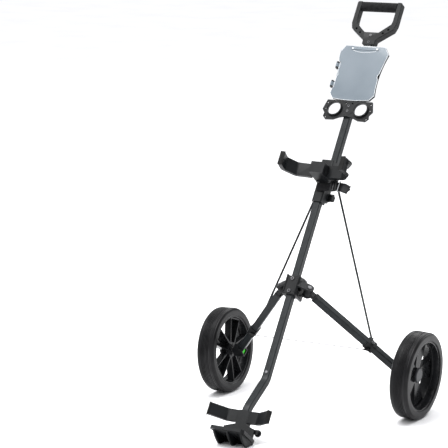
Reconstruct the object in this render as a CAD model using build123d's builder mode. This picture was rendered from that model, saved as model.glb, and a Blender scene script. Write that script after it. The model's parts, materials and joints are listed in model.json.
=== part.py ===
from build123d import *
from math import cos, radians, sin, tan
import os

# A golf push trolley, unfolded and standing on its two wheels and its foot.
# Millimetres. X runs across, Y to the rear, Z up. The bag lies on the front (-Y) side.
os.makedirs("parts", exist_ok=True)

# ---------------------------------------------------------------- driving dimensions
LEAN = 34.0                 # how far the main tube leans back from upright, degrees
FOOT_LINE_Y = -327.03       # where the tube's line would meet the floor
TUBE = 20.0                 # square tube, across
TUBE_WALL = 1.5
TUBE_CORNER = 2.5
FIT = 0.05                  # running clearance on a radius
GAP = 0.3                   # clearance between neighbours that move

# stations along the tube, measured from the floor line
TUBE_TOP = 812.0
HINGE = 720.0               # fold hinge
HINGE_REAR = 28.0           # handle tube axis behind the lower tube axis
LINK = 53.75                # strut pin above the fold hinge
HUB = 435.0                 # leg pivots
HUB_LOW, HUB_HIGH = 410.0, 464.0
CHANNEL_LOW, CHANNEL_HIGH = 748.0, 816.0
BLOCK_LOW, BLOCK_HIGH = 751.0, 789.0
HANDLE_START = 709.0
NECK = 1198.0
GRIP = 1325.0

# bag side
BAG_FACE = -64.0            # plane that the bag lies against
TUBE_FOOT_N = -52.0         # axis of the tube's lowest stretch
BEND_HIGH, BEND_LOW = 165.0, 62.0
TUBE_END = 8.0

# wheels
WHEEL_R = 120.0
WHEEL_W = 54.0
SHOULDER = 9.0              # rounding of the tread's edges
WHEEL_X = 300.0
WHEEL_BEHIND = 398.0        # wheel centre behind the floor line
CAMBER = 3.0
SPOKES = 5

# legs
PIVOT_X, PIVOT_N = 39.0, 16.0
PIVOT_AXIS = (0.5, -0.7, 0.51)   # across, rear and along the tube
AXLE_REACH = 47.0           # leg line meets the axle this far inside the wheel's middle
STRUT_AT = 228.0            # strut ball along the leg
STRUT_LIFT = 21.0           # strut ball off the leg's axis
CABLE_R = 1.1

# ---------------------------------------------------------------- planes and points
lean = radians(LEAN)
ALONG = Vector(0, sin(lean), cos(lean))       # up the tube
REAR = Vector(0, cos(lean), -sin(lean))       # square to the tube, to the rear
ACROSS = Vector(1, 0, 0)
FLOOR_POINT = Vector(0, FOOT_LINE_Y, 0)


def at(x, rear, station):
    """The point at a distance across, behind the tube's axis and along the tube."""
    return FLOOR_POINT + ACROSS * x + REAR * rear + ALONG * station


def direction(x, rear, station):
    return (ACROSS * x + REAR * rear + ALONG * station).normalized()


def across(station):
    """Plane square to the tube; sketch in (across, rear), extrude up the tube."""
    return Plane(origin=at(0, 0, station), x_dir=ACROSS, z_dir=ALONG)


def sideways(x):
    """Plane along the tube; sketch in (rear, station), extrude across."""
    return Plane(origin=at(x, 0, 0), x_dir=REAR, z_dir=ACROSS)


def facing(rear):
    """Plane that faces the bag; sketch in (across, station), extrude forwards."""
    return Plane(origin=at(0, rear, 0), x_dir=ACROSS, z_dir=-REAR)


def square_off(main, side):
    """The part of one direction that is square to another."""
    return (side - main * side.dot(main)).normalized()


# right leg: its pivot, its line and the axle
pivot = at(PIVOT_X, PIVOT_N, HUB)
pivot_axis = direction(*PIVOT_AXIS)
camber = radians(CAMBER)
wheel_high = SHOULDER + (WHEEL_R - SHOULDER) * cos(camber) + (WHEEL_W / 2 - SHOULDER) * sin(camber)
wheel_centre = Vector(WHEEL_X, FOOT_LINE_Y + WHEEL_BEHIND, wheel_high)
axle_dir = Vector(cos(camber), 0, -sin(camber))
axle_root = wheel_centre - axle_dir * AXLE_REACH
leg_dir = (axle_root - pivot).normalized()
leg_length = (axle_root - pivot).length
leg_side = square_off(leg_dir, pivot_axis)
leg_up = -leg_dir.cross(leg_side)
strut_foot = pivot + leg_dir * STRUT_AT + leg_up * STRUT_LIFT
strut_top = at(20.0, HINGE_REAR, HINGE + LINK)


def leg_plane(distance):
    """Plane square to the right leg at a distance from its pivot."""
    return Plane(origin=pivot + leg_dir * distance, x_dir=leg_side, z_dir=leg_dir)


def wheel_plane(out=0.0, turn=0.0):
    """Plane square to the right axle, a distance outwards from the wheel's middle."""
    turned = Vector(0, 1, 0).rotate(Axis((0, 0, 0), axle_dir), turn)
    return Plane(origin=wheel_centre + axle_dir * out, x_dir=turned, z_dir=axle_dir)


def finish(piece, name):
    piece.label = name
    export_step(piece, f"parts/{name}.step")


def both_sides(piece, name):
    """Write the right piece and its mirror image on the left."""
    with BuildPart() as left:
        mirror(piece, about=Plane.YZ)
    finish(piece, f"{name}_right")
    finish(left.part, f"{name}_left")


def paired(piece, name):
    """Write the right piece and its mirror image as one group of two solids."""
    with BuildPart() as group:
        add(piece)
        mirror(piece, about=Plane.YZ)
    finish(group.part, name)


def tube_section():
    RectangleRounded(TUBE, TUBE, TUBE_CORNER)
    RectangleRounded(TUBE - 2 * TUBE_WALL, TUBE - 2 * TUBE_WALL, 1.2, mode=Mode.SUBTRACT)


# ---------------------------------------------------------------- lower tube
RIVET_R = 2.4
TUBE_RIVET = 184.0

with BuildPart() as lower_tube:
    with BuildLine(sideways(0)) as tube_line:
        FilletPolyline(
            (0, TUBE_TOP), (0, BEND_HIGH), (TUBE_FOOT_N, BEND_LOW), (TUBE_FOOT_N, TUBE_END), radius=45
        )
    with BuildSketch(across(TUBE_TOP)):
        tube_section()
    sweep(path=tube_line.wires()[0])
    with BuildSketch(facing(-TUBE / 2)):
        with Locations((0, TUBE_RIVET)):
            Circle(RIVET_R)
    extrude(amount=-TUBE_WALL - 1, mode=Mode.SUBTRACT)
finish(lower_tube.part, "lower_tube")

with BuildPart() as tube_rivet:
    with BuildSketch(facing(-TUBE / 2)):
        with Locations((0, TUBE_RIVET)):
            Circle(4.2)
    extrude(amount=1.6)
    fillet(tube_rivet.faces().sort_by(SortBy.AREA)[-1].edges(), 0.7)
    with BuildSketch(facing(-TUBE / 2)):
        with Locations((0, TUBE_RIVET)):
            Circle(RIVET_R - FIT)
    extrude(amount=-TUBE_WALL + 0.2)
finish(tube_rivet.part, "tube_rivet")


# ---------------------------------------------------------------- fold hinge
COLLAR_LOW, COLLAR_HIGH = 690.0, 745.0
EAR_IN, EAR_OUT = TUBE / 2 + GAP, 15.0
BOLT_R = 4.0

with BuildPart() as fold_collar:
    with BuildSketch(across(COLLAR_LOW)):
        RectangleRounded(2 * EAR_OUT, 28, 4)
        Rectangle(TUBE, TUBE, mode=Mode.SUBTRACT)
    extrude(amount=COLLAR_HIGH - COLLAR_LOW)
    for side in (-EAR_OUT, EAR_IN):
        with BuildSketch(sideways(side)):
            with BuildLine():
                Polyline((10.5, COLLAR_LOW + 4), (HINGE_REAR, HINGE - 12), (HINGE_REAR, HINGE + 12))
                Line((HINGE_REAR, HINGE + 12), (10.5, COLLAR_HIGH - 4))
                Line((10.5, COLLAR_HIGH - 4), (10.5, COLLAR_LOW + 4))
            make_face()
            with Locations((HINGE_REAR, HINGE)):
                Circle(12)
        extrude(amount=EAR_OUT - EAR_IN)
    with BuildSketch(sideways(-EAR_OUT - 1)):
        with Locations((HINGE_REAR, HINGE)):
            Circle(BOLT_R)
    extrude(amount=2 * EAR_OUT + 2, mode=Mode.SUBTRACT)
    with BuildSketch(across(COLLAR_LOW - 1)):
        with Locations((0, HINGE_REAR)):
            Rectangle(2 * EAR_IN, 34.4)
    extrude(amount=COLLAR_HIGH - COLLAR_LOW + 2, mode=Mode.SUBTRACT)
finish(fold_collar.part, "fold_collar")

BOLT_HEAD = 5.0
KNOB_OUT = EAR_OUT + 12.0

with BuildPart() as fold_bolt:
    with BuildSketch(sideways(-EAR_OUT - BOLT_HEAD)):
        with Locations((HINGE_REAR, HINGE)):
            RegularPolygon(7.5, 6)
    extrude(amount=BOLT_HEAD)
    with BuildSketch(sideways(-EAR_OUT)):
        with Locations((HINGE_REAR, HINGE)):
            Circle(BOLT_R)
    extrude(amount=EAR_OUT + KNOB_OUT - 2)
finish(fold_bolt.part, "fold_bolt")

with BuildPart() as lock_knob:
    with BuildSketch(sideways(EAR_OUT + GAP)):
        with Locations((HINGE_REAR, HINGE)):
            Circle(11)
            with PolarLocations(12.5, 6):
                Circle(3.2, mode=Mode.SUBTRACT)
    extrude(amount=KNOB_OUT - EAR_OUT)
    fillet(lock_knob.faces().sort_by(Axis.X)[-1].edges(), 1.2)
    with BuildSketch(sideways(EAR_OUT)):
        with Locations((HINGE_REAR, HINGE)):
            Circle(BOLT_R + FIT)
    extrude(amount=KNOB_OUT - EAR_OUT - 1.5, mode=Mode.SUBTRACT)
finish(lock_knob.part, "lock_knob")


# ---------------------------------------------------------------- upper bag saddle
CHANNEL_X = 18.5
CHANNEL_SLOT = TUBE / 2 + 0.6
CHANNEL_BACK = 38.0
BLOCK_X = 24.0
NOTCH = 4.5

with BuildPart() as bag_saddle:
    with BuildSketch(across(CHANNEL_LOW)):
        with Locations((0, (CHANNEL_BACK - 15) / 2)):
            RectangleRounded(2 * CHANNEL_X, CHANNEL_BACK + 15, 3)
    extrude(amount=CHANNEL_HIGH - CHANNEL_LOW)
    with BuildSketch(facing(-12)):
        with Locations((0, (BLOCK_LOW + BLOCK_HIGH) / 2)):
            RectangleRounded(2 * BLOCK_X, BLOCK_HIGH - BLOCK_LOW, 4)
    extrude(amount=-BAG_FACE - 12, taper=3)
    with BuildSketch(across(CHANNEL_LOW - 1)):
        Rectangle(TUBE, TUBE)
        with Locations((0, HINGE_REAR + 12)):
            Rectangle(2 * CHANNEL_SLOT, 44.8)
    extrude(amount=CHANNEL_HIGH - CHANNEL_LOW + 2, mode=Mode.SUBTRACT)
    with BuildSketch(sideways(-CHANNEL_X - 1)):
        with Locations((CHANNEL_BACK - 5, HINGE + LINK)):
            Rectangle(20, 2 * NOTCH)
    extrude(amount=2 * CHANNEL_X + 2, mode=Mode.SUBTRACT)
finish(bag_saddle.part, "bag_saddle")


# ---------------------------------------------------------------- bag arms
ARM_THICK = 12.0
ARM_SKIN = 3.5


def bag_arm(points, pocket, low, high, wall):
    """A right cradle arm that bends forwards round the bag: a channel, open at its back."""
    with BuildPart() as arm:
        with BuildSketch(across(low)):
            with BuildLine():
                FilletPolyline(*points, radius=14)
            trace(line_width=ARM_THICK)
        extrude(amount=high - low)
        with BuildSketch(across(low + wall)):
            with BuildLine():
                FilletPolyline(*pocket, radius=14)
            trace(line_width=ARM_THICK)
        extrude(amount=high - low - 2 * wall, mode=Mode.SUBTRACT)
    return arm.part


UPPER_ARM = [(BLOCK_X + GAP, -32), (74, -36), (99, -68), (93, -102)]
UPPER_POCKET = [(34, -32 + ARM_SKIN), (76, -36 + ARM_SKIN), (99 + ARM_SKIN, -68), (97, -94)]
both_sides(bag_arm(UPPER_ARM, UPPER_POCKET, BLOCK_LOW, BLOCK_HIGH, 4.0), "upper_arm")

LOWER_ARM_LOW, LOWER_ARM_HIGH = 20.0, 53.0
LOWER_ARM = [(16 + GAP, -58), (48, -60), (88, -92)]
LOWER_POCKET = [(26, -58 + ARM_SKIN), (53, -60 + ARM_SKIN), (86 + ARM_SKIN, -86)]
both_sides(bag_arm(LOWER_ARM, LOWER_POCKET, LOWER_ARM_LOW, LOWER_ARM_HIGH, 3.5), "lower_arm")

# rubber pads on the arms' tips
PAD = 3.0


def tip_pad(tip, turn, low, high):
    """A rubber cap on an arm's tip, square to the arm's last stretch."""
    with BuildPart() as pad:
        with BuildSketch(across(low - 1)):
            with Locations(Location((*tip, 0), turn)):
                with Locations((0, -PAD / 2 - 0.2)):
                    RectangleRounded(ARM_THICK + 2, PAD, 1.2)
        extrude(amount=high - low + 2)
    return pad.part


with BuildPart() as arm_pads:
    for pad in (
        tip_pad((93, -102), -10.0, BLOCK_LOW, BLOCK_HIGH), tip_pad((88, -92), 50.0, LOWER_ARM_LOW, LOWER_ARM_HIGH)
    ):
        add(pad)
        mirror(pad, about=Plane.YZ)
finish(arm_pads.part, "arm_pads")


# ---------------------------------------------------------------- bag strap
STRAP_WIDE = 25.0

with BuildPart() as bag_strap:
    with BuildSketch(facing(-16)):
        with BuildLine():
            Polyline((-4, 732), (24, 733), (44, 737), (62, 736), (90, 729))
        trace(line_width=STRAP_WIDE)
    extrude(amount=2.0)
finish(bag_strap.part, "bag_strap")

with BuildPart() as strap_buckle:
    with BuildSketch(facing(-18 - GAP)):
        with Locations(Location((42, 736.5, 0), 8)):
            RectangleRounded(20, 33, 3)
            Rectangle(9, 25.5, mode=Mode.SUBTRACT)
    extrude(amount=3.5)
    fillet(strap_buckle.faces().sort_by(Axis.Y)[0].edges(), 0.8)
finish(strap_buckle.part, "strap_buckle")


# ---------------------------------------------------------------- foot bracket
WALL_X = 44.0
PLATE_LOW, PLATE_HIGH = -27.0, -18.0
PLATE_FRONT = -132.0
SOCKET_LOW, SOCKET_HIGH = -4.0, 50.0
SOCKET_X = 16.0

with BuildPart() as foot_bracket:
    with BuildSketch(facing(BAG_FACE + 7)):
        with BuildLine():
            Polyline(
                (-WALL_X, PLATE_HIGH), (WALL_X, PLATE_HIGH), (WALL_X, 6), (SOCKET_X, 15), (SOCKET_X, 54),
                (-SOCKET_X, 54), (-SOCKET_X, 15), (-WALL_X, 6), (-WALL_X, PLATE_HIGH)
            )
        make_face()
    extrude(amount=7)
    with BuildSketch(across(SOCKET_LOW)):
        with Locations((0, (BAG_FACE + TUBE_FOOT_N + 14) / 2)):
            RectangleRounded(2 * SOCKET_X, TUBE_FOOT_N + 14 - BAG_FACE, 2)
    extrude(amount=SOCKET_HIGH - SOCKET_LOW)
    with BuildSketch(across(TUBE_END)):
        with Locations((0, TUBE_FOOT_N)):
            Rectangle(TUBE, TUBE)
    extrude(amount=TUBE_TOP, mode=Mode.SUBTRACT)
finish(foot_bracket.part, "foot_bracket")

floor_rise = tan(lean)      # the floor climbs this much along the tube for each step to the rear
HEEL, TOE = -46.0, -74.0    # the ribs stand on the floor between these


def on_floor(rear):
    return (rear, rear * floor_rise)


with BuildPart() as foot_plate:
    with BuildSketch(across(PLATE_LOW)):
        with BuildLine():
            Polyline(
                (-WALL_X, HEEL), (WALL_X, HEEL), (51, -124), (44, PLATE_FRONT), (-44, PLATE_FRONT),
                (-51, -124), (-WALL_X, HEEL)
            )
        make_face()
    extrude(amount=PLATE_HIGH - PLATE_LOW)
    for x in (-43.0, -3.0, 37.0):
        with BuildSketch(sideways(x)):
            with BuildLine():
                Polyline((PLATE_FRONT + 8, PLATE_LOW), (HEEL, PLATE_LOW), on_floor(HEEL), on_floor(TOE))
                ThreePointArc(on_floor(TOE), (-100, -42), (PLATE_FRONT + 8, PLATE_LOW))
            make_face()
        extrude(amount=6)
    with BuildSketch(sideways(-43)):
        with BuildLine():
            Polyline((HEEL - 8, PLATE_LOW), (HEEL, PLATE_LOW), on_floor(HEEL), on_floor(HEEL - 8), close=True)
        make_face()
    extrude(amount=86)
finish(foot_plate.part, "foot_plate")

# round hooks that the bag's lower strap slips over
HOOK_X, HOOK_S = 47.0, 2.0

HOOK_N = BAG_FACE + 7 + GAP

with BuildPart() as strap_hook:
    with BuildSketch(facing(HOOK_N + 15)):
        with Locations((HOOK_X, HOOK_S)):
            Circle(9.5)
    extrude(amount=5)
    fillet(strap_hook.edges(), 1.2)
    with BuildSketch(facing(HOOK_N + 10)):
        with Locations((HOOK_X, HOOK_S)):
            Circle(5)
    extrude(amount=4)
    with BuildSketch(facing(HOOK_N + 6)):
        with Locations((HOOK_X - 5, HOOK_S)):
            Rectangle(18, 12)
    extrude(amount=6)
paired(strap_hook.part, "strap_hooks")


# ---------------------------------------------------------------- hub and leg hinges
PIN_R = 4.0
BARREL_HALF = 10.0
CHEEK = 5.0
CHEEK_R = 13.0
CRADLE_HIGH = 470.0

barrel_plane = Plane(origin=pivot, x_dir=square_off(pivot_axis, leg_dir), z_dir=pivot_axis)


def cheek(start):
    """One lug of a leg's clevis: a disc round the pin, run in to the hub's side."""
    plane = barrel_plane.offset(start)
    towards = plane.to_local_coords(at(8, 2, HUB + 2))
    with BuildPart() as lug:
        with BuildSketch(plane):
            Circle(CHEEK_R)
            with BuildLine():
                reach = Vector(towards.X, towards.Y)
                wide = Vector(-reach.Y, reach.X).normalized() * CHEEK_R
                Polyline(wide, wide + reach, reach - wide, -wide, close=True)
            make_face()
        extrude(amount=CHEEK)
        with BuildSketch(plane):
            Circle(PIN_R)
        extrude(amount=CHEEK, mode=Mode.SUBTRACT)
    return lug.part


with BuildPart() as lug_gap:
    with BuildSketch(barrel_plane.offset(-BARREL_HALF - GAP)):
        Circle(32)
    extrude(amount=2 * (BARREL_HALF + GAP))

with BuildPart() as hub:
    with BuildSketch(across(HUB_LOW)):
        with Locations((0, 2)):
            RectangleRounded(44, 38, 5)
    extrude(amount=HUB_HIGH - HUB_LOW)
    chamfer(hub.faces().filter_by(lambda face: abs(face.normal_at().dot(ALONG)) > 0.99).edges(), 1.5)
    for side in (-1, 1):
        with BuildSketch(across(HUB_LOW + 6)):
            with Locations((side * 17, -2)):
                RectangleRounded(5, 34, 1.5)
        extrude(amount=HUB_HIGH - HUB_LOW - 4)
    for start in (BARREL_HALF + GAP, -BARREL_HALF - GAP - CHEEK):
        lug = cheek(start)
        add(lug)
        mirror(lug, about=Plane.YZ)
    add(lug_gap.part, mode=Mode.SUBTRACT)
    mirror(lug_gap.part, about=Plane.YZ, mode=Mode.SUBTRACT)
    with BuildSketch(across(HUB_LOW)):
        with Locations((0, 24)):
            RectangleRounded(36, 26, 3)
    extrude(amount=CRADLE_HIGH - HUB_LOW)
    with BuildSketch(across(HUB_LOW - 30)):
        Rectangle(TUBE, TUBE)
        with Locations((0, HINGE_REAR + 12)):
            Rectangle(2 * CHANNEL_SLOT, 44.8)
    extrude(amount=CRADLE_HIGH, mode=Mode.SUBTRACT)
finish(hub.part, "hub")

with BuildPart() as leg_pin:
    with BuildSketch(barrel_plane.offset(-BARREL_HALF - GAP - CHEEK)):
        Circle(PIN_R)
    extrude(amount=2 * (BARREL_HALF + GAP + CHEEK))
    for start, away in ((BARREL_HALF + GAP + CHEEK, 1), (-BARREL_HALF - GAP - CHEEK, -1)):
        with BuildSketch(barrel_plane.offset(start)):
            Circle(6)
        extrude(amount=away * 2, taper=20)
paired(leg_pin.part, "leg_hinge_pins")

with BuildPart() as hub_bolts:
    for station in (HUB_LOW + 9, HUB_HIGH - 9):
        with BuildSketch(facing(-17)):
            with Locations((0, station)):
                Circle(5)
                RegularPolygon(2.5, 6, mode=Mode.SUBTRACT)
        extrude(amount=3)
finish(hub_bolts.part, "hub_bolts")


# ---------------------------------------------------------------- legs
NECK_OUT = 24.0
LEG_END = leg_length - 27.0
SPIGOT = 16.8
HOUSING = 27.0
HOUSING_IN, HOUSING_OUT = -62.0, -31.0
AXLE_R = 6.0
BUTTON = 19.0
BUTTON_IN = 4.0             # the button's face, sunk below the housing's end
BUTTON_LONG = 12.0
POCKET = 23.0

with BuildPart() as leg_knuckle:
    with BuildSketch(barrel_plane.offset(-BARREL_HALF)):
        Circle(12)
    extrude(amount=2 * BARREL_HALF)
    with BuildSketch(leg_plane(0)):
        Rectangle(10, 18)
    extrude(amount=NECK_OUT)
    with BuildSketch(leg_plane(NECK_OUT)):
        RectangleRounded(TUBE, TUBE, TUBE_CORNER)
    extrude(amount=6)
    with BuildSketch(leg_plane(NECK_OUT + 6)):
        RectangleRounded(SPIGOT, SPIGOT, 1.6)
    extrude(amount=30)
    with BuildSketch(barrel_plane.offset(-BARREL_HALF)):
        Circle(PIN_R + FIT)
    extrude(amount=2 * BARREL_HALF, mode=Mode.SUBTRACT)
both_sides(leg_knuckle.part, "leg_knuckle")

with BuildPart() as leg_tube:
    with BuildSketch(leg_plane(NECK_OUT + 6)):
        tube_section()
    extrude(amount=LEG_END - NECK_OUT - 6)
both_sides(leg_tube.part, "leg_tube")

# clamp round the leg that carries the strut's ball and the cable's end
CLAMP = 30.0
with BuildPart() as strut_clamp:
    with BuildSketch(leg_plane(STRUT_AT - CLAMP / 2)):
        RectangleRounded(TUBE + 5, TUBE + 5, 3)
        Rectangle(TUBE, TUBE, mode=Mode.SUBTRACT)
    extrude(amount=CLAMP)
    ball_plane = Plane(origin=pivot + leg_dir * STRUT_AT + leg_up * (TUBE / 2), z_dir=leg_up)
    with BuildSketch(ball_plane):
        Circle(2.2)
    extrude(amount=STRUT_LIFT - TUBE / 2)
    with BuildSketch(ball_plane):
        Circle(4.5)
    extrude(amount=4)
    with Locations(Location(strut_foot)):
        Sphere(5.0)
both_sides(strut_clamp.part, "strut_clamp")

clamp_side = Plane(origin=pivot + leg_dir * STRUT_AT + leg_side * (TUBE / 2 + 2.5), x_dir=leg_dir, z_dir=leg_side)
with BuildPart() as clamp_bolt:
    with BuildSketch(clamp_side):
        Circle(5)
        RegularPolygon(2.3, 6, mode=Mode.SUBTRACT)
    extrude(amount=3.5)
both_sides(clamp_bolt.part, "clamp_bolt")

housing_plane = Plane(origin=wheel_centre, x_dir=square_off(axle_dir, leg_dir), z_dir=axle_dir)
with BuildPart() as axle_housing:
    with BuildSketch(housing_plane.offset(HOUSING_IN)):
        RectangleRounded(HOUSING, HOUSING, 4)
    extrude(amount=HOUSING_OUT - HOUSING_IN)
    with BuildSketch(leg_plane(LEG_END)):
        RectangleRounded(TUBE, TUBE, TUBE_CORNER)
    extrude(amount=20)
    with BuildSketch(leg_plane(LEG_END - 30)):
        RectangleRounded(SPIGOT, SPIGOT, 1.6)
    extrude(amount=30)
    with BuildSketch(housing_plane.offset(HOUSING_IN - 12)):
        Rectangle(BUTTON + 0.6, BUTTON + 0.6)
    extrude(amount=POCKET + 12, mode=Mode.SUBTRACT)
    with BuildSketch(housing_plane.offset(HOUSING_IN)):
        Circle(AXLE_R)
    extrude(amount=40, mode=Mode.SUBTRACT)
both_sides(axle_housing.part, "axle_housing")

AXLE_OUT = 2.0
with BuildPart() as axle:
    with BuildSketch(housing_plane.offset(HOUSING_IN + POCKET)):
        Circle(AXLE_R)
    extrude(amount=AXLE_OUT - HOUSING_IN - POCKET)
    chamfer(axle.faces().sort_by(Axis.X)[-1].edges(), 1)
both_sides(axle.part, "axle")

with BuildPart() as release_button:
    with BuildSketch(housing_plane.offset(HOUSING_IN + BUTTON_IN)):
        RectangleRounded(BUTTON, BUTTON, 2.5)
    extrude(amount=BUTTON_LONG)
    fillet(release_button.faces().sort_by(Axis.X)[0].edges(), 1.2)
both_sides(release_button.part, "release_button")

with BuildPart() as button_spring:
    with BuildSketch(housing_plane.offset(HOUSING_IN + BUTTON_IN + BUTTON_LONG)):
        Circle(5.2)
        Circle(4.0, mode=Mode.SUBTRACT)
    extrude(amount=POCKET - BUTTON_IN - BUTTON_LONG)
both_sides(button_spring.part, "button_spring")

# the cable that stops the legs from spreading, in two halves that meet in the middle
cable_end = pivot + leg_dir * (STRUT_AT + 4) - leg_up * (TUBE / 2 + 8)
cable_middle = Vector(0, cable_end.Y, cable_end.Z)
ferrule_tip = cable_end + Vector(-20, 0, 0)
ferrule_plane = Plane(origin=cable_end, x_dir=Vector(0, 1, 0), z_dir=Vector(-1, 0, 0))
with BuildPart() as cable_ferrule:
    with BuildSketch(ferrule_plane):
        Circle(4.2)
    extrude(amount=20, taper=8)
both_sides(cable_ferrule.part, "cable_ferrule")

with BuildPart() as leg_cable:
    with BuildSketch(Plane(origin=ferrule_tip, z_dir=Vector(-1, 0, 0))):
        Circle(CABLE_R)
    extrude(amount=ferrule_tip.X)
both_sides(leg_cable.part, "leg_cable")

# ---------------------------------------------------------------- struts
STRUT_R = 3.0
CUP_R = 8.0
CUP_LIP = 3.6               # the cup ends this far short of the ball's middle
strut_line = (strut_foot - strut_top).normalized()
strut_length = (strut_foot - strut_top).length
eye_plane = Plane(origin=strut_top, x_dir=REAR, z_dir=ACROSS)
with BuildPart() as strut:
    with BuildSketch(Plane(origin=strut_top, z_dir=strut_line)):
        Circle(STRUT_R)
    extrude(amount=strut_length - 6)
    with BuildSketch(eye_plane):
        Circle(6)
    extrude(amount=4)
    with Locations(Location(strut_foot)):
        Sphere(CUP_R)
    split(bisect_by=Plane(origin=strut_foot - strut_line * CUP_LIP, z_dir=strut_line), keep=Keep.BOTTOM)
    with Locations(Location(strut_foot)):
        Sphere(5.0 + GAP, mode=Mode.SUBTRACT)
    with BuildSketch(eye_plane.offset(-6)):
        Circle(12)
    extrude(amount=6, mode=Mode.SUBTRACT)
both_sides(strut.part, "strut")


# ---------------------------------------------------------------- wheels
TYRE_IN = 97.0
BARREL_IN = 92.5
RIM_HALF = 24.0
HUB_R = 17.0
BUSH_R = 9.0
WEB_OUT, WEB_IN, RIB_IN = -1.0, -5.0, -21.0
HUB_IN, HUB_OUT = -25.0, 3.0
CAP_R = 20.5
GROOVES = (-10.5, -6.3, -2.1, 2.1, 6.3, 10.5)
profile_plane = Plane(origin=wheel_centre, x_dir=Vector(0, 1, 0), z_dir=axle_dir.cross(Vector(0, 1, 0)))
wheel_axis = Axis(wheel_centre, axle_dir)


with BuildPart() as tyre:
    with BuildSketch(profile_plane) as tread:
        with Locations(((WHEEL_R + TYRE_IN) / 2, 0)):
            Rectangle(WHEEL_R - TYRE_IN, WHEEL_W)
        fillet(tread.vertices().group_by(Axis.X)[-1], SHOULDER)
        fillet(tread.vertices().group_by(Axis.X)[0], 3)
        with Locations(*[(WHEEL_R, groove) for groove in GROOVES]):
            Rectangle(2.4, 1.4, mode=Mode.SUBTRACT)
    revolve(axis=wheel_axis)
both_sides(tyre.part, "tyre")


def spoke_outline(start, end, shrink):
    """One broad spoke, wider at the rim, drawn along +X and shrunk by a wall's thickness."""
    Polyline((start, 12 - shrink), (end, 26 - shrink), (end, -26 + shrink), (start, -12 + shrink), close=True)


with BuildPart() as rim:
    with BuildSketch(profile_plane):
        with Locations(((TYRE_IN + BARREL_IN) / 2, 0)):
            Rectangle(TYRE_IN - BARREL_IN, 2 * RIM_HALF)
        with Locations(((TYRE_IN + BARREL_IN) / 2 - 2, WEB_OUT - 3)):
            Rectangle(TYRE_IN - BARREL_IN + 3, 6)
    revolve(axis=wheel_axis)
    with BuildSketch(wheel_plane(HUB_IN)):
        Circle(HUB_R)
    extrude(amount=HUB_OUT - HUB_IN)
    for step in range(SPOKES):
        with BuildSketch(wheel_plane(RIB_IN, step * 360 / SPOKES)):
            with BuildLine():
                spoke_outline(HUB_R - 5, BARREL_IN - 1.5, 0)
            make_face()
        extrude(amount=WEB_OUT - RIB_IN)
    for step in range(SPOKES):
        with BuildSketch(wheel_plane(RIB_IN - 1, step * 360 / SPOKES)):
            with BuildLine():
                spoke_outline(HUB_R + 4, BARREL_IN - 6, 3.5)
            make_face()
        extrude(amount=WEB_IN - RIB_IN + 1, mode=Mode.SUBTRACT)
    with BuildSketch(wheel_plane(HUB_IN)):
        Circle(BUSH_R)
    extrude(amount=HUB_OUT - HUB_IN, mode=Mode.SUBTRACT)
both_sides(rim.part, "rim")

with BuildPart() as wheel_bush:
    with BuildSketch(wheel_plane(HUB_IN)):
        Circle(BUSH_R)
        Circle(AXLE_R + FIT, mode=Mode.SUBTRACT)
    extrude(amount=HUB_OUT - HUB_IN)
both_sides(wheel_bush.part, "wheel_bush")

with BuildPart() as hub_cap:
    with BuildSketch(wheel_plane(HUB_OUT)):
        Circle(CAP_R)
    extrude(amount=6)
    fillet(hub_cap.faces().sort_by(Axis.X)[-1].edges(), 3)
    with BuildSketch(wheel_plane(HUB_OUT)):
        Circle(BUSH_R - 1)
    extrude(amount=3, mode=Mode.SUBTRACT)
both_sides(hub_cap.part, "hub_cap")


# ---------------------------------------------------------------- handle tube
HANDLE_FRONT = HINGE_REAR - TUBE / 2
SOCKET_DEEP = 16.0
PLUG = 3.0
PIN_HALF = 17.5             # the strut pin, half its length

with BuildPart() as handle_tube:
    with BuildSketch(across(HANDLE_START)):
        with Locations((0, HINGE_REAR)):
            RectangleRounded(TUBE, TUBE, TUBE_CORNER)
            RectangleRounded(TUBE - 2 * TUBE_WALL, TUBE - 2 * TUBE_WALL, 1.2, mode=Mode.SUBTRACT)
    extrude(amount=NECK + SOCKET_DEEP - HANDLE_START)
    for station, radius in ((HINGE, BOLT_R + FIT), (HINGE + LINK, 3.0)):
        with BuildSketch(sideways(-TUBE)):
            with Locations((HINGE_REAR, station)):
                Circle(radius)
        extrude(amount=2 * TUBE, mode=Mode.SUBTRACT)
finish(handle_tube.part, "handle_tube")

with BuildPart() as handle_plug:
    with BuildSketch(across(HANDLE_START - PLUG)):
        with Locations((0, HINGE_REAR)):
            RectangleRounded(TUBE - 3, TUBE - 3, 3)
    extrude(amount=PLUG)
finish(handle_plug.part, "handle_plug")

with BuildPart() as strut_pin:
    with BuildSketch(sideways(-PIN_HALF)):
        with Locations((HINGE_REAR, HINGE + LINK)):
            Circle(3.0)
    extrude(amount=2 * PIN_HALF)
finish(strut_pin.part, "strut_pin")

# ---------------------------------------------------------------- handle loop and grip
LOOP_X = 70.0
LOOP_FRONT = 17.0
LOOP_REAR = 38.0
GRIP_R = 14.0
GRIP_X = 56.0
NECK_X = 20.0

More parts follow.
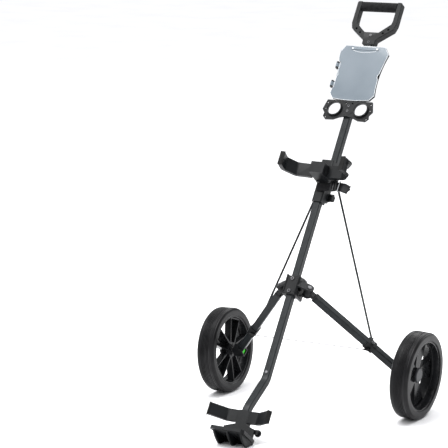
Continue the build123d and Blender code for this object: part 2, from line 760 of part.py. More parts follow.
with BuildPart() as handle_loop:
    with BuildSketch(facing(LOOP_REAR)):
        with BuildLine():
            FilletPolyline(
                (-NECK_X, NECK), (NECK_X, NECK), (NECK_X, 1213), (LOOP_X - 5, 1248), (LOOP_X, 1266),
                (LOOP_X, GRIP + 12), (-LOOP_X, GRIP + 12), (-LOOP_X, 1266), (-LOOP_X + 5, 1248),
                (-NECK_X, 1213), radius=5, close=True
            )
        make_face()
        with BuildLine():
            FilletPolyline(
                (-22, 1238), (22, 1238), (54, 1266), (GRIP_X, 1276), (GRIP_X, GRIP + 30), (-GRIP_X, GRIP + 30),
                (-GRIP_X, 1276), (-54, 1266), radius=3, close=True
            )
        make_face(mode=Mode.SUBTRACT)
        for side in (-1, 1):
            with Locations((side * 36, 1236), (side * 50, 1248)):
                Circle(2.6, mode=Mode.SUBTRACT)
    extrude(amount=LOOP_REAR - LOOP_FRONT)
    chamfer(handle_loop.faces().filter_by(lambda face: abs(face.normal_at().dot(REAR)) > 0.99).edges(), 1)
    with BuildSketch(sideways(-GRIP_X - 2)):
        with Locations((HINGE_REAR, GRIP)):
            Circle(8)
    extrude(amount=2 * GRIP_X + 4)
    with BuildSketch(across(NECK - 1)):
        with Locations((0, HINGE_REAR)):
            Rectangle(TUBE, TUBE)
    extrude(amount=SOCKET_DEEP + 1, mode=Mode.SUBTRACT)
finish(handle_loop.part, "handle_loop")

with BuildPart() as grip_sleeve:
    with BuildSketch(sideways(-GRIP_X)):
        with Locations((HINGE_REAR, GRIP)):
            Circle(GRIP_R)
    extrude(amount=2 * GRIP_X)
    fillet(grip_sleeve.edges().filter_by(GeomType.CIRCLE), 1.5)
    with BuildSketch(sideways(-GRIP_X)):
        with Locations((HINGE_REAR, GRIP)):
            Circle(8)
    extrude(amount=2 * GRIP_X, mode=Mode.SUBTRACT)
finish(grip_sleeve.part, "grip_sleeve")

# ---------------------------------------------------------------- scorecard holder
BACK_THICK = 4.0
CARD_FRONT = HANDLE_FRONT - BACK_THICK
COVER_GAP = 2.0
COVER_THICK = 2.0
COVER_REAR = CARD_FRONT - COVER_GAP
CARD_LOW, CARD_HIGH = 1015.0, 1188.0
HINGE_X = -72.5
HINGE_N = COVER_REAR - COVER_THICK / 2
LUG_STATIONS = (1064.0, 1124.0)
LUG_LONG = 12.0
PEG_R = 2.2
LUG_R = 4.2


def card_outline():
    """Waisted panel: cut corners, concave sides, a shallow curved lower end."""
    Polyline((-77, 1165), (-62, CARD_HIGH), (62, CARD_HIGH), (77, 1165))
    ThreePointArc((77, 1165), (65, 1094), (69, 1034))
    Line((69, 1034), (57, CARD_LOW + 4))
    ThreePointArc((57, CARD_LOW + 4), (0, CARD_LOW), (-57, CARD_LOW + 4))
    Line((-57, CARD_LOW + 4), (-69, 1034))
    ThreePointArc((-69, 1034), (-65, 1094), (-77, 1165))


with BuildPart() as card_back:
    with BuildSketch(facing(HANDLE_FRONT)):
        with BuildLine():
            card_outline()
        make_face()
    extrude(amount=BACK_THICK)
    with BuildSketch(facing(CARD_FRONT)):
        with Locations((0, 1176), (0, 1028)):
            RectangleRounded(60, 6, 2)
    extrude(amount=1.4)
    for station in LUG_STATIONS:
        for inner, depth in ((-60, BACK_THICK), (HINGE_X + 3.5, HANDLE_FRONT - HINGE_N + 3)):
            with BuildSketch(facing(HANDLE_FRONT)):
                for end in (-1, 1):
                    with Locations(((HINGE_X - 2.5 + inner) / 2, station + end * (LUG_LONG / 2 + 2.5))):
                        Rectangle(inner - HINGE_X + 2.5, 4)
            extrude(amount=depth)
        with BuildSketch(across(station - LUG_LONG / 2 - 4)):
            with Locations((HINGE_X, HINGE_N)):
                Circle(PEG_R)
        extrude(amount=LUG_LONG + 8)
finish(card_back.part, "card_back")

with BuildPart() as card_cover:
    with BuildSketch(facing(COVER_REAR)):
        with BuildLine():
            card_outline()
        make_face()
        with Locations((HINGE_X + 1, LUG_STATIONS[0]), (HINGE_X + 1, LUG_STATIONS[1])):
            Rectangle(15, LUG_LONG + 12, mode=Mode.SUBTRACT)
        with Locations((80, 1094)):
            Circle(18, mode=Mode.SUBTRACT)
        with Locations((HINGE_X - 12, 1165)):
            Rectangle(20, 60, mode=Mode.SUBTRACT)
    extrude(amount=COVER_THICK)
    for station in LUG_STATIONS:
        with BuildSketch(across(station - LUG_LONG / 2)):
            with BuildLine():
                Polyline(
                    (HINGE_X, HINGE_N + 1), (-60, HINGE_N + 1), (-60, HINGE_N - 1), (HINGE_X, HINGE_N - 1),
                    close=True
                )
            make_face()
            with Locations((HINGE_X, HINGE_N)):
                Circle(LUG_R)
                Circle(PEG_R + FIT, mode=Mode.SUBTRACT)
        extrude(amount=LUG_LONG)
finish(card_cover.part, "card_cover")

with BuildPart() as card_clip:
    with BuildSketch(facing(COVER_REAR - COVER_THICK)):
        with Locations((0, 1179)):
            SlotOverall(88, 7)
    extrude(amount=1.6)
    fillet(card_clip.faces().sort_by(Axis.Y)[0].edges(), 0.6)
finish(card_clip.part, "card_clip")

with BuildPart() as clip_rivets:
    with BuildSketch(facing(COVER_REAR - COVER_THICK - 1.6)):
        with Locations((-38, 1179), (38, 1179)):
            Circle(2.4)
    extrude(amount=0.8)
finish(clip_rivets.part, "clip_rivets")

# ---------------------------------------------------------------- ball and tee holder
BALL_X, BALL_S = 41.0, 987.0
BALL_R = 20.0
SLEEVE_R = 26.0
HOLDER_THICK = 5.0
SLEEVE_LONG = 11.0
HOLDER_REAR = HANDLE_FRONT - 2
HOLDER_HIGH = CARD_LOW - 1

with BuildPart() as ball_tee_holder:
    with BuildSketch(facing(HOLDER_REAR)):
        with BuildLine():
            Polyline((0, 966), (20, 962), (38, 954), (62, 953), (71, 962), (69, 972), (78, 984), (70, HOLDER_HIGH))
            Line((70, HOLDER_HIGH), (0, HOLDER_HIGH))
            mirror(about=Plane.YZ)
        make_face()
        with Locations((-BALL_X, BALL_S), (BALL_X, BALL_S)):
            Circle(SLEEVE_R - 1, mode=Mode.SUBTRACT)
        for side in (-1, 1):
            with Locations((side * 67, 1005), (side * 69, 987), (side * 64, 960), (side * 10, 1006)):
                Circle(2.6, mode=Mode.SUBTRACT)
    extrude(amount=HOLDER_THICK)
    with BuildSketch(facing(HOLDER_REAR)):
        with Locations((-BALL_X, BALL_S), (BALL_X, BALL_S)):
            Circle(SLEEVE_R)
            Circle(BALL_R, mode=Mode.SUBTRACT)
    extrude(amount=HOLDER_THICK)
    with BuildSketch(facing(HOLDER_REAR)):
        with Locations((-BALL_X, BALL_S), (BALL_X, BALL_S)):
            Circle(BALL_R + 3)
            Circle(BALL_R, mode=Mode.SUBTRACT)
    extrude(amount=SLEEVE_LONG)
    with BuildSketch(facing(HANDLE_FRONT)):
        with Locations((0, 990)):
            RectangleRounded(TUBE + 4, 38, 3)
    extrude(amount=HANDLE_FRONT - HOLDER_REAR)
finish(ball_tee_holder.part, "ball_tee_holder")

with BuildPart() as handle_screws:
    for face, stations in ((LOOP_FRONT, (NECK + 8, NECK + 30)), (HOLDER_REAR - HOLDER_THICK, (982, 998))):
        with BuildSketch(facing(face)):
            for station in stations:
                with Locations((0, station)):
                    Circle(3.6)
                    RegularPolygon(1.8, 6, mode=Mode.SUBTRACT)
        extrude(amount=1.4)
finish(handle_screws.part, "handle_screws")
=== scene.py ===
import json
from math import cos, pi, radians, sin

import bpy
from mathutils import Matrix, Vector


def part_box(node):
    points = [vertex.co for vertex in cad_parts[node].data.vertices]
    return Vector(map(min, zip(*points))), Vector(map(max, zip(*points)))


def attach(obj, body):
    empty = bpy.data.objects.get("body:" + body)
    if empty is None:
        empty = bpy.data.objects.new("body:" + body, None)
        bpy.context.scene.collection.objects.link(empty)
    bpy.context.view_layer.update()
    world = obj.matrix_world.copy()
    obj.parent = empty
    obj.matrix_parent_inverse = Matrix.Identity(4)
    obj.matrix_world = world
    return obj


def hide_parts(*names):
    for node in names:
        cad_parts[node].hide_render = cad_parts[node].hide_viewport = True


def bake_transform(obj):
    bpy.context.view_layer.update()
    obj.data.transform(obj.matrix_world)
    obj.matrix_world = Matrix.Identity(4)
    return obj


# A golf push trolley, unfolded. Metres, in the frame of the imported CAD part:
# X across, Y to the rear, Z up, the bag on the front (-Y) side.
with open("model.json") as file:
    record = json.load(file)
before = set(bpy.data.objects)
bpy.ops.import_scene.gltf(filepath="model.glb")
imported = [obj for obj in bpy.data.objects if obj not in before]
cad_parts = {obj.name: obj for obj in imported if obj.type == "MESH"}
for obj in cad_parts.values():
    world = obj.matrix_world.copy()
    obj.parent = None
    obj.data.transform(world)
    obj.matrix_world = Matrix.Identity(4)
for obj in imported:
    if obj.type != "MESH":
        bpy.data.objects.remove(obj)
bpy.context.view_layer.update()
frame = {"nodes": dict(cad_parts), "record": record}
nodes = frame["nodes"]

# ---------------------------------------------------------------- driving dimensions
LEAN = radians(34.0)              # how far the main tube leans back from upright
FOOT_LINE_Y = -0.32703            # where the tube's line would meet the floor
STRAP_WIDE = 0.025
STRAP_THICK = 0.0016
CABLE_R = 0.0011
COVER_FRONT_N = 0.010             # bag side of the scorecard cover
SHEEN = 0.13                      # reflection of the plastics and paints
TREAD_PITCH = 0.0046              # between the tread's circumferential lines
CAMBER = 3.0                      # degrees, the wheels' tops lean outwards
WAVE_RADIANS = 20                 # what the wave texture turns through in one unit at scale 1
ALONG = Vector((0, sin(LEAN), cos(LEAN)))
REAR = Vector((0, cos(LEAN), -sin(LEAN)))
ACROSS = Vector((1, 0, 0))


def at(x, rear, station):
    """The point at a distance across, behind the tube's axis and along the tube."""
    return Vector((0, FOOT_LINE_Y, 0)) + ACROSS * x + REAR * rear + ALONG * station


# ---------------------------------------------------------------- material helpers
def start_material(name, color, roughness, metallic=0.0):
    """A new material and its shader, with the plain values on the shader's own sockets."""
    material = bpy.data.materials.new(name)
    material.use_nodes = True
    shader = material.node_tree.nodes["Principled BSDF"]
    shader.inputs["Base Color"].default_value = (*color, 1)
    shader.inputs["Roughness"].default_value = roughness
    shader.inputs["Metallic"].default_value = metallic
    shader.inputs["Specular IOR Level"].default_value = SHEEN
    return material, shader


def placed(material, stretch=(1, 1, 1), kind="Object"):
    """Texture coordinates of the piece itself, stretched along its axes."""
    tree = material.node_tree
    source = tree.nodes.new("ShaderNodeTexCoord")
    mapping = tree.nodes.new("ShaderNodeMapping")
    mapping.inputs["Scale"].default_value = stretch
    tree.links.new(source.outputs[kind], mapping.inputs["Vector"])
    return mapping.outputs["Vector"]


def noise(material, scale, detail=4.0, stretch=(1, 1, 1)):
    """Cloudy noise in the piece's own coordinates."""
    tree = material.node_tree
    node = tree.nodes.new("ShaderNodeTexNoise")
    node.inputs["Scale"].default_value = scale
    node.inputs["Detail"].default_value = detail
    tree.links.new(placed(material, stretch), node.inputs["Vector"])
    return node.outputs["Fac"]


def cells(material, scale):
    """Distance to the nearest cell centre, for foam pores."""
    tree = material.node_tree
    node = tree.nodes.new("ShaderNodeTexVoronoi")
    node.inputs["Scale"].default_value = scale
    tree.links.new(placed(material), node.inputs["Vector"])
    return node.outputs["Distance"]


def bands(material, scale, axis, kind="UV"):
    """Even bands across one axis."""
    tree = material.node_tree
    node = tree.nodes.new("ShaderNodeTexWave")
    node.bands_direction = axis
    node.inputs["Scale"].default_value = scale
    tree.links.new(placed(material, kind=kind), node.inputs["Vector"])
    return node.outputs["Fac"]


def product(material, first, second):
    """Two patterns multiplied."""
    tree = material.node_tree
    node = tree.nodes.new("ShaderNodeMath")
    node.operation = "MULTIPLY"
    tree.links.new(first, node.inputs[0])
    tree.links.new(second, node.inputs[1])
    return node.outputs["Value"]


def tint(material, shader, height, low, high, start=0.3, end=0.7):
    """Base colour that wanders between two tones."""
    tree = material.node_tree
    ramp = tree.nodes.new("ShaderNodeValToRGB")
    ramp.color_ramp.elements[0].position = start
    ramp.color_ramp.elements[0].color = (*low, 1)
    ramp.color_ramp.elements[1].position = end
    ramp.color_ramp.elements[1].color = (*high, 1)
    tree.links.new(height, ramp.inputs["Fac"])
    tree.links.new(ramp.outputs["Color"], shader.inputs["Base Color"])


def wander(material, shader, height, low, high, socket="Roughness"):
    """A shader value that wanders between two limits."""
    tree = material.node_tree
    span = tree.nodes.new("ShaderNodeMapRange")
    span.inputs["To Min"].default_value = low
    span.inputs["To Max"].default_value = high
    tree.links.new(height, span.inputs["Value"])
    tree.links.new(span.outputs["Result"], shader.inputs[socket])


def relief(material, shader, height, strength, depth):
    """A pattern as small heights on the surface."""
    tree = material.node_tree
    bump = tree.nodes.new("ShaderNodeBump")
    bump.inputs["Strength"].default_value = strength
    bump.inputs["Distance"].default_value = depth
    tree.links.new(height, bump.inputs["Height"])
    tree.links.new(bump.outputs["Normal"], shader.inputs["Normal"])


# ---------------------------------------------------------------- materials
def powder_coat(name, low, high, roughness):
    """Powder coat: a fine orange peel and a slow drift of tone."""
    material, shader = start_material(name, high, roughness)
    tint(material, shader, noise(material, 60, 6), low, high)
    wander(material, shader, noise(material, 90, 5), roughness - 0.06, roughness + 0.08)
    relief(material, shader, noise(material, 1400, 3), 0.35, 0.0002)
    return material


def moulded(name, low, high, roughness, grain=1900, depth=0.00015):
    """Moulded plastic with a spark-eroded grain."""
    material, shader = start_material(name, high, roughness)
    tint(material, shader, noise(material, 22, 4), low, high)
    wander(material, shader, noise(material, 130, 4), roughness - 0.05, roughness + 0.07)
    relief(material, shader, noise(material, grain, 2), 0.3, depth)
    return material


def metal(name, low, high, roughness):
    """Machined steel: fine lines across the axis and small changes of tone."""
    material, shader = start_material(name, high, roughness, 1.0)
    tint(material, shader, noise(material, 60, 4), low, high)
    wander(material, shader, noise(material, 300, 3, (1, 12, 1)), roughness - 0.08, roughness + 0.1)
    relief(material, shader, noise(material, 900, 2, (1, 14, 1)), 0.2, 0.0001)
    return material


def tread_rubber(side):
    """Tyre rubber, with fine lines that run round the wheel square to its cambered axle."""
    material, shader = start_material(f"tread_rubber_{side}", (0.01, 0.01, 0.011), 0.4)
    tree = material.node_tree
    lines = bands(material, 2 * pi / (WAVE_RADIANS * TREAD_PITCH), "X", "Object")
    mapping = lines.node.inputs["Vector"].links[0].from_node
    mapping.inputs["Rotation"].default_value[1] = radians(-CAMBER if side == "right" else CAMBER)
    tint(material, shader, noise(material, 30, 5), (0.005, 0.005, 0.0055), (0.012, 0.012, 0.013))
    wander(material, shader, noise(material, 40, 5), 0.22, 0.42)
    relief(material, shader, lines, 0.8, 0.0009)
    rubber_grain = tree.nodes.new("ShaderNodeBump")
    rubber_grain.inputs["Strength"].default_value = 0.3
    rubber_grain.inputs["Distance"].default_value = 0.0002
    tree.links.new(noise(material, 800, 4), rubber_grain.inputs["Height"])
    ridge = shader.inputs["Normal"].links[0].from_node
    tree.links.new(rubber_grain.outputs["Normal"], ridge.inputs["Normal"])
    return material


def grip_foam():
    """Closed-cell foam with fine pores."""
    material, shader = start_material("grip_foam", (0.02, 0.02, 0.021), 0.8)
    tint(material, shader, noise(material, 120, 5), (0.006, 0.006, 0.0065), (0.014, 0.014, 0.015))
    wander(material, shader, noise(material, 70, 4), 0.68, 0.9)
    relief(material, shader, cells(material, 1100), 0.7, 0.0004)
    return material


def smoky_clear():
    """Tinted clear sheet with a faint flow pattern and fine scratches."""
    material, shader = start_material("smoky_clear", (0.18, 0.21, 0.24), 0.2)
    tint(material, shader, noise(material, 9, 2), (0.15, 0.18, 0.208), (0.2, 0.232, 0.262))
    wander(material, shader, noise(material, 160, 3, (1, 6, 1)), 0.14, 0.3)
    relief(material, shader, noise(material, 45, 2), 0.12, 0.0004)
    shader.inputs["Alpha"].default_value = 0.9
    shader.inputs["Coat Weight"].default_value = 0.4
    return material


def webbing(name, low, high):
    """Woven band: picks along it and ends across it."""
    material, shader = start_material(name, high, 0.75)
    weave = product(material, bands(material, 260, "X"), bands(material, 210, "Y"))
    tint(material, shader, weave, low, high, 0.05, 0.7)
    wander(material, shader, noise(material, 200, 4), 0.62, 0.86)
    relief(material, shader, weave, 0.9, 0.0004)
    return material


def cable_cover():
    """Coated wire rope: the strands show through as slanted ridges."""
    material, shader = start_material("cable_cover", (0.18, 0.18, 0.175), 0.35, 0.3)
    tint(material, shader, noise(material, 260, 4), (0.1, 0.1, 0.098), (0.22, 0.22, 0.215))
    relief(material, shader, bands(material, 300, "DIAGONAL", "Object"), 0.7, 0.0003)
    return material


finishes = {
    "frame_paint": powder_coat("frame_paint", (0.0095, 0.0115, 0.0125), (0.017, 0.0195, 0.0215), 0.3),
    "strut_paint": powder_coat("strut_paint", (0.012, 0.013, 0.014), (0.022, 0.024, 0.026), 0.38),
    "cable_cover": cable_cover(),
    "tread_rubber": tread_rubber("right"),
    "tread_rubber_left": tread_rubber("left"),
    "rim_plastic": moulded(
        "rim_plastic", (0.006, 0.0065, 0.007), (0.012, 0.0125, 0.014), 0.16, 600, 0.00008
    ),
    "cap_plastic": moulded("cap_plastic", (0.02, 0.021, 0.023), (0.036, 0.038, 0.042), 0.24, 700, 0.00008),
    "strap_webbing": webbing("strap_webbing", (0.005, 0.005, 0.0055), (0.022, 0.022, 0.024)),
    "grip_foam": grip_foam(),
    "pad_rubber": moulded("pad_rubber", (0.007, 0.007, 0.007), (0.014, 0.014, 0.014), 0.7, 1000, 0.0003),
    "clear_plastic": smoky_clear(),
    "green_plastic": moulded("green_plastic", (0.05, 0.55, 0.03), (0.09, 0.72, 0.06), 0.4),
    "steel": metal("steel", (0.10, 0.10, 0.105), (0.18, 0.18, 0.185), 0.36),
    "dark_steel": metal("dark_steel", (0.07, 0.07, 0.075), (0.15, 0.15, 0.155), 0.38),
    "white_plastic": moulded("white_plastic", (0.66, 0.67, 0.67), (0.8, 0.81, 0.81), 0.3),
    "edge_white": moulded("edge_white", (0.7, 0.72, 0.74), (0.84, 0.86, 0.88), 0.35),
    "cap_pale": moulded("cap_pale", (0.3, 0.31, 0.32), (0.42, 0.43, 0.44), 0.4),
    "tab_rubber": moulded("tab_rubber", (0.012, 0.012, 0.0125), (0.028, 0.028, 0.03), 0.6, 900, 0.0005),
    "bush_plastic": moulded("bush_plastic", (0.07, 0.07, 0.07), (0.12, 0.12, 0.12), 0.5),
    "black_plastic": moulded("black_plastic", (0.0045, 0.005, 0.0055), (0.0095, 0.0105, 0.0115), 0.36),
}

# CAD node families whose edges stay unsoftened, and the softened edge's width for some families (none where
# zero)
PLAIN_EDGED = ("card_cover", "card_clip")
EDGE = {"tyre": 0.0004, "clip_rivets": 0.0003, "strut": 0.0}
SOFT_EDGE = 0.0007                # width of the softened edge where EDGE names no other
SHARP = radians(40)               # corners that turn by more than this are softened
WELD_GAP = 1e-6


def dress(node, slot_name):
    """Finish and softened edges on a CAD node."""
    piece = nodes[node]
    piece.data.materials.clear()
    piece.data.materials.append(finishes["tread_rubber_left" if node == "tyre_left" else slot_name])
    family = node.replace("_left", "").replace("_right", "")
    if family in PLAIN_EDGED:
        return
    weld = piece.modifiers.new("weld", "WELD")
    weld.merge_threshold = WELD_GAP
    width = EDGE.get(family, SOFT_EDGE)
    if width:
        bevel = piece.modifiers.new("soft_edges", "BEVEL")
        bevel.width = width
        bevel.segments = 2
        bevel.limit_method = "ANGLE"
        bevel.angle_limit = SHARP
        bevel.harden_normals = True


for entry in frame["record"]["subparts"]:
    dress(entry["node"], entry["material_slot"])


# ---------------------------------------------------------------- mesh helpers
def make_piece(name, vertices, faces, slot_name, body=None, uvs=None, smooth=True):
    """A piece from its mesh data, with its finish and slot, that moves with a body if one is named."""
    mesh = bpy.data.meshes.new(name)
    mesh.from_pydata([tuple(v) for v in vertices], [], faces)
    mesh.validate()
    if uvs is not None:
        layer = mesh.uv_layers.new(name="along")
        for loop in mesh.loops:
            layer.data[loop.index].uv = uvs[loop.vertex_index]
    for polygon in mesh.polygons:
        polygon.use_smooth = smooth
    mesh.materials.append(finishes[slot_name])
    piece = bpy.data.objects.new(name, mesh)
    bpy.context.scene.collection.objects.link(piece)
    if body:
        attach(piece, body)
    return piece


def smooth_line(points, steps=10):
    """A curve through the points, with even steps between each two."""
    ends = [points[0]] + list(points) + [points[-1]]
    line = []
    for i in range(1, len(ends) - 2):
        p0, p1, p2, p3 = ends[i - 1:i + 3]
        for step in range(steps):
            t = step / steps
            line.append(0.5 * (
                2 * p1 + (p2 - p0) * t + (2 * p0 - 5 * p1 + 4 * p2 - p3) * t ** 2
                + (3 * p1 - p0 - 3 * p2 + p3) * t ** 3
            ))
    line.append(Vector(points[-1]))
    return line


def tube_piece(name, line, radius, slot_name, body=None, sides=12):
    """A round rod or cord along a line, with closed ends."""
    vertices, faces = [], []
    side = None
    for i, point in enumerate(line):
        ahead = (line[min(i + 1, len(line) - 1)] - line[max(i - 1, 0)]).normalized()
        if side is None:
            side = ahead.orthogonal().normalized()
        side = (side - ahead * side.dot(ahead)).normalized()
        other = ahead.cross(side)
        for k in range(sides):
            turn = 2 * pi * k / sides
            vertices.append(point + (side * cos(turn) + other * sin(turn)) * radius)
    for i in range(len(line) - 1):
        for k in range(sides):
            a, b = i * sides + k, i * sides + (k + 1) % sides
            faces.append((a, b, b + sides, a + sides))
    faces.append(tuple(reversed(range(sides))))
    faces.append(tuple(range(len(vertices) - sides, len(vertices))))
    return make_piece(name, vertices, faces, slot_name, body)


BAND_THINNING = 0.45              # share of a band's thickness that is lost at its edges
BAND_CORNER = 6                   # how near its edges that thinning stays


def band_piece(name, line, widthwise, wide, thick, slot_name, body, crown=0.0):
    """A flat band along a line, its width towards the given direction, slightly crowned."""
    columns = 8
    ring = 2 * (columns + 1)
    vertices, faces, uvs = [], [], []
    run = 0.0
    for i, point in enumerate(line):
        if i:
            run += (point - line[i - 1]).length
        ahead = (line[min(i + 1, len(line) - 1)] - line[max(i - 1, 0)]).normalized()
        normal = ahead.cross(widthwise).normalized()
        across = normal.cross(ahead).normalized()
        for face in (1, -1):
            for k in range(columns + 1):
                share = face * (2 * k / columns - 1)
                edge = 1 - abs(share) ** BAND_CORNER * BAND_THINNING
                lift = normal * (face * thick / 2 * edge + crown * (1 - share ** 2))
                vertices.append(point + across * share * wide / 2 + lift)
                uvs.append((run, share * wide / 2))
    for i in range(len(line) - 1):
        for k in range(ring):
            a, b = i * ring + k, i * ring + (k + 1) % ring
            faces.append((a, b, b + ring, a + ring))
    faces.append(tuple(reversed(range(ring))))
    faces.append(tuple(range(len(vertices) - ring, len(vertices))))
    return make_piece(name, vertices, faces, slot_name, body, uvs)


# ---------------------------------------------------------------- bag strap
strap_route = [
    at(-0.008, -0.0150, 0.7320), at(0.008, -0.0185, 0.7325), at(0.024, -0.0170, 0.7335),
    at(0.040, -0.0190, 0.7365), at(0.056, -0.0165, 0.7370), at(0.070, -0.0185, 0.7345),
    at(0.090, -0.0170, 0.7290),
]
strap = band_piece(
    "strap_band", smooth_line(strap_route), ALONG, STRAP_WIDE, STRAP_THICK, "strap_webbing", "frame", 0.0004
)
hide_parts("bag_strap")

# pale keeper round the strap, the buckle's bar and the stiff end tab
KEEPER_X, KEEPER_S = 0.0585, 0.7368
KEEPER_FRONT, KEEPER_REAR = -0.0212, -0.0152
KEEPER_GAP = 0.0018               # between the strap's edge and the keeper
KEEPER_R = 0.0013
KEEPER_CORNERS = (
    (KEEPER_FRONT, 1), (KEEPER_FRONT, 0), (KEEPER_FRONT, -1),
    (KEEPER_REAR, -1), (KEEPER_REAR, 0), (KEEPER_REAR, 1), (KEEPER_FRONT, 1),
)
keeper_half = STRAP_WIDE / 2 + KEEPER_GAP
keeper_line = [at(KEEPER_X, n, KEEPER_S + end * keeper_half) for n, end in KEEPER_CORNERS]
tube_piece("strap_keeper", smooth_line(keeper_line, 6), KEEPER_R, "cap_pale", "frame", 8)

BAR_X, BAR_N, BAR_S = 0.042, -0.0200, 0.7365
BAR_HALF = 0.0145
BAR_R = 0.0017
bar_line = [at(BAR_X, BAR_N, BAR_S + step * BAR_HALF) for step in (-1, 0, 1)]
tube_piece("buckle_bar", bar_line, BAR_R, "dark_steel", "frame", 10)

TAB_FRONT, TAB_THICK = -0.0212, 0.0042
RIB_N, RIB_R = -0.0214, 0.0006
RIB_INSET = 0.16                  # share of the way from the tab's outline to its middle
TAB_OUTLINE = [(0.067, 0.7215), (0.070, 0.7475), (0.087, 0.7435), (0.0955, 0.7300), (0.084, 0.7180)]


def plate_piece(name, outline, n_front, thick, slot_name, body, rounding=0.0012):
    """A flat plate square to the tube's facing direction, with rounded edges."""
    count = len(outline)
    vertices = [at(x, n_front + depth, s) for depth in (0, thick) for x, s in outline]
    faces = [tuple(range(count)), tuple(reversed(range(count, 2 * count)))]
    for k in range(count):
        j = (k + 1) % count
        faces.append((k, k + count, j + count, j))
    plate = make_piece(name, vertices, faces, slot_name, body, smooth=False)
    bevel = plate.modifiers.new("rounded", "BEVEL")
    bevel.width = rounding
    bevel.segments = 3
    bevel.limit_method = "ANGLE"
    return plate


plate_piece("strap_tab", TAB_OUTLINE, TAB_FRONT, TAB_THICK, "tab_rubber", "frame")
tab_loop = [at(x, RIB_N, s) for x, s in TAB_OUTLINE + TAB_OUTLINE[:1]]
tab_middle = sum(tab_loop[:-1], Vector()) / len(TAB_OUTLINE)
tab_edge = [point.lerp(tab_middle, RIB_INSET) for point in tab_loop]
tube_piece("strap_tab_rib", smooth_line(tab_edge, 4), RIB_R, "frame_paint", "frame", 8)


# ---------------------------------------------------------------- scorecard cover
def arc_through(first, via, last, count=14):
    """Points of a shallow arc, drawn as a parabola through three points."""
    control = [2 * via[k] - (first[k] + last[k]) / 2 for k in range(2)]
    points = []
    for i in range(count + 1):
        t = i / count
        points.append(tuple(
            (1 - t) ** 2 * first[k] + 2 * t * (1 - t) * control[k] + t * t * last[k] for k in range(2)
        ))
    return points


def cover_line(name, points, radius, slot_name):
    """A moulded line on the bag side of the cover."""
    line = [at(x, COVER_FRONT_N, s) for x, s in points]
    return tube_piece(name, line, radius, slot_name, "cover", 8)


NOTCH_X, NOTCH_S = 0.062, 1.094
LUGS_LOW, LUGS_HIGH = 1.050, 1.138
LUGS_X, LEFT_X = -0.0638, -0.0741  # the outline's limit beside the hinge lugs, and elsewhere on the left
CORNER_X, CORNER_S = 0.0618, 1.1878
CLIP_HALF = 0.036
EDGE_LINE_R, CLIP_LINE_R = 0.0006, 0.0005
right_side = (
    arc_through((0.0765, 1.165), (0.0700, 1.131), (0.0655, 1.104), 8)
    + arc_through((0.0650, 1.103), (NOTCH_X - 0.0003, NOTCH_S), (0.0650, 1.085), 8)
    + arc_through((0.0655, 1.084), (0.0662, 1.060), (0.0686, 1.034), 8)
)
left_side = [
    (max(-x, LUGS_X if LUGS_LOW < s < LUGS_HIGH else LEFT_X), s) for x, s in reversed(right_side)
]
lower_edge = arc_through((0.0568, 1.0192), (0, 1.0152), (-0.0568, 1.0192), 12)
top_left = (-CORNER_X, CORNER_S)
edge = [top_left, (CORNER_X, CORNER_S)] + right_side + lower_edge + left_side + [top_left]
cover_line("cover_edge", edge, EDGE_LINE_R, "edge_white")
for name, end_s, middle_s in (("clip_line_upper", 1.1842, 1.1862), ("clip_line_lower", 1.1738, 1.1675)):
    clip_arc = arc_through((-CLIP_HALF, end_s), (0, middle_s), (CLIP_HALF, end_s))
    cover_line(name, clip_arc, CLIP_LINE_R, "edge_white")


# ---------------------------------------------------------------- leg cable
def leg_cable(side, name):
    """Half of the cable between the legs, straight from its ferrule to the middle."""
    low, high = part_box(f"cable_ferrule_{name}")
    start = Vector((low.x if side > 0 else high.x, (low.y + high.y) / 2, (low.z + high.z) / 2))
    middle = Vector((0, start.y, start.z))
    count = 40
    line = [start.lerp(middle, i / count) for i in range(count + 1)]
    half = tube_piece(f"cable_half_{name}", line, CABLE_R, "cable_cover")
    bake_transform(half)
    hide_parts(f"leg_cable_{name}")


leg_cable(1, "right")
leg_cable(-1, "left")


# ---------------------------------------------------------------- stage, light and camera
FLOOR_REACH = 40.0
TROLLEY_MIDDLE = (0, 0, 0.5)
SKY_COLOR = (0.97, 0.98, 1.0, 1)
SKY_STRENGTH = 0.5
CAMERA_PLACE = (2.7056, -5.1509, 1.5826)
CAMERA_SIGHT = Vector((-0.4919, 0.8531, -0.1795))
LENS, SENSOR_WIDE = 173.9, 36      # millimetres


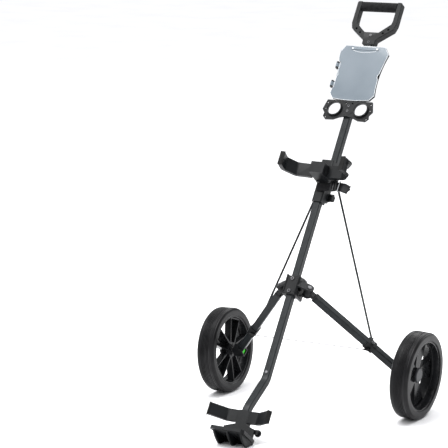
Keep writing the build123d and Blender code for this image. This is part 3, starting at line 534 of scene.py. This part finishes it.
def pale_floor():
    """A wide pale floor under the wheels and the foot."""
    mesh = bpy.data.meshes.new("floor")
    corners = [(x * FLOOR_REACH, y * FLOOR_REACH, 0) for x, y in ((-1, -1), (1, -1), (1, 1), (-1, 1))]
    mesh.from_pydata(corners, [], [(0, 1, 2, 3)])
    floor = bpy.data.objects.new("floor", mesh)
    bpy.context.scene.collection.objects.link(floor)
    material, shader = start_material("floor", (0.86, 0.86, 0.87), 0.7)
    tint(material, shader, noise(material, 3, 2), (0.84, 0.84, 0.85), (0.88, 0.88, 0.89))
    mesh.materials.append(material)


def soft_light(name, place, target, power, size):
    """A square lamp that faces a target."""
    light = bpy.data.lights.new(name, "AREA")
    light.energy = power
    light.size = size
    lamp = bpy.data.objects.new(name, light)
    lamp.location = place
    lamp.rotation_euler = (Vector(target) - Vector(place)).to_track_quat("-Z", "Y").to_euler()
    bpy.context.scene.collection.objects.link(lamp)


def soft_sun(place, power, spread):
    """Daylight from the direction of a place, its disc some degrees wide."""
    light = bpy.data.lights.new("sun", "SUN")
    light.energy = power
    light.angle = radians(spread)
    lamp = bpy.data.objects.new("sun", light)
    lamp.rotation_euler = (-Vector(place)).to_track_quat("-Z", "Y").to_euler()
    bpy.context.scene.collection.objects.link(lamp)


pale_floor()
soft_sun((-1.4, -1.0, 4.0), 2.4, 30)
soft_light("key", (-1.8, -3.2, 3.4), TROLLEY_MIDDLE, 70, 2.0)
soft_light("fill", (3.6, -1.6, 2.2), TROLLEY_MIDDLE, 22, 2.6)
soft_light("overhead", (0.2, 0.4, 4.2), (0, 0, 0), 150, 4.5)
soft_light("back", (0.6, 3.2, 2.8), TROLLEY_MIDDLE, 110, 2.2)

world = bpy.data.worlds.new("studio")
world.use_nodes = True
world.node_tree.nodes["Background"].inputs["Color"].default_value = SKY_COLOR
world.node_tree.nodes["Background"].inputs["Strength"].default_value = SKY_STRENGTH
bpy.context.scene.world = world
bpy.context.scene.view_settings.view_transform = "Standard"

lens = bpy.data.cameras.new("camera")
lens.sensor_width = SENSOR_WIDE
lens.lens = LENS
camera = bpy.data.objects.new("camera", lens)
camera.location = CAMERA_PLACE
camera.rotation_euler = CAMERA_SIGHT.to_track_quat("-Z", "Y").to_euler()
bpy.context.scene.collection.objects.link(camera)
bpy.context.scene.camera = camera
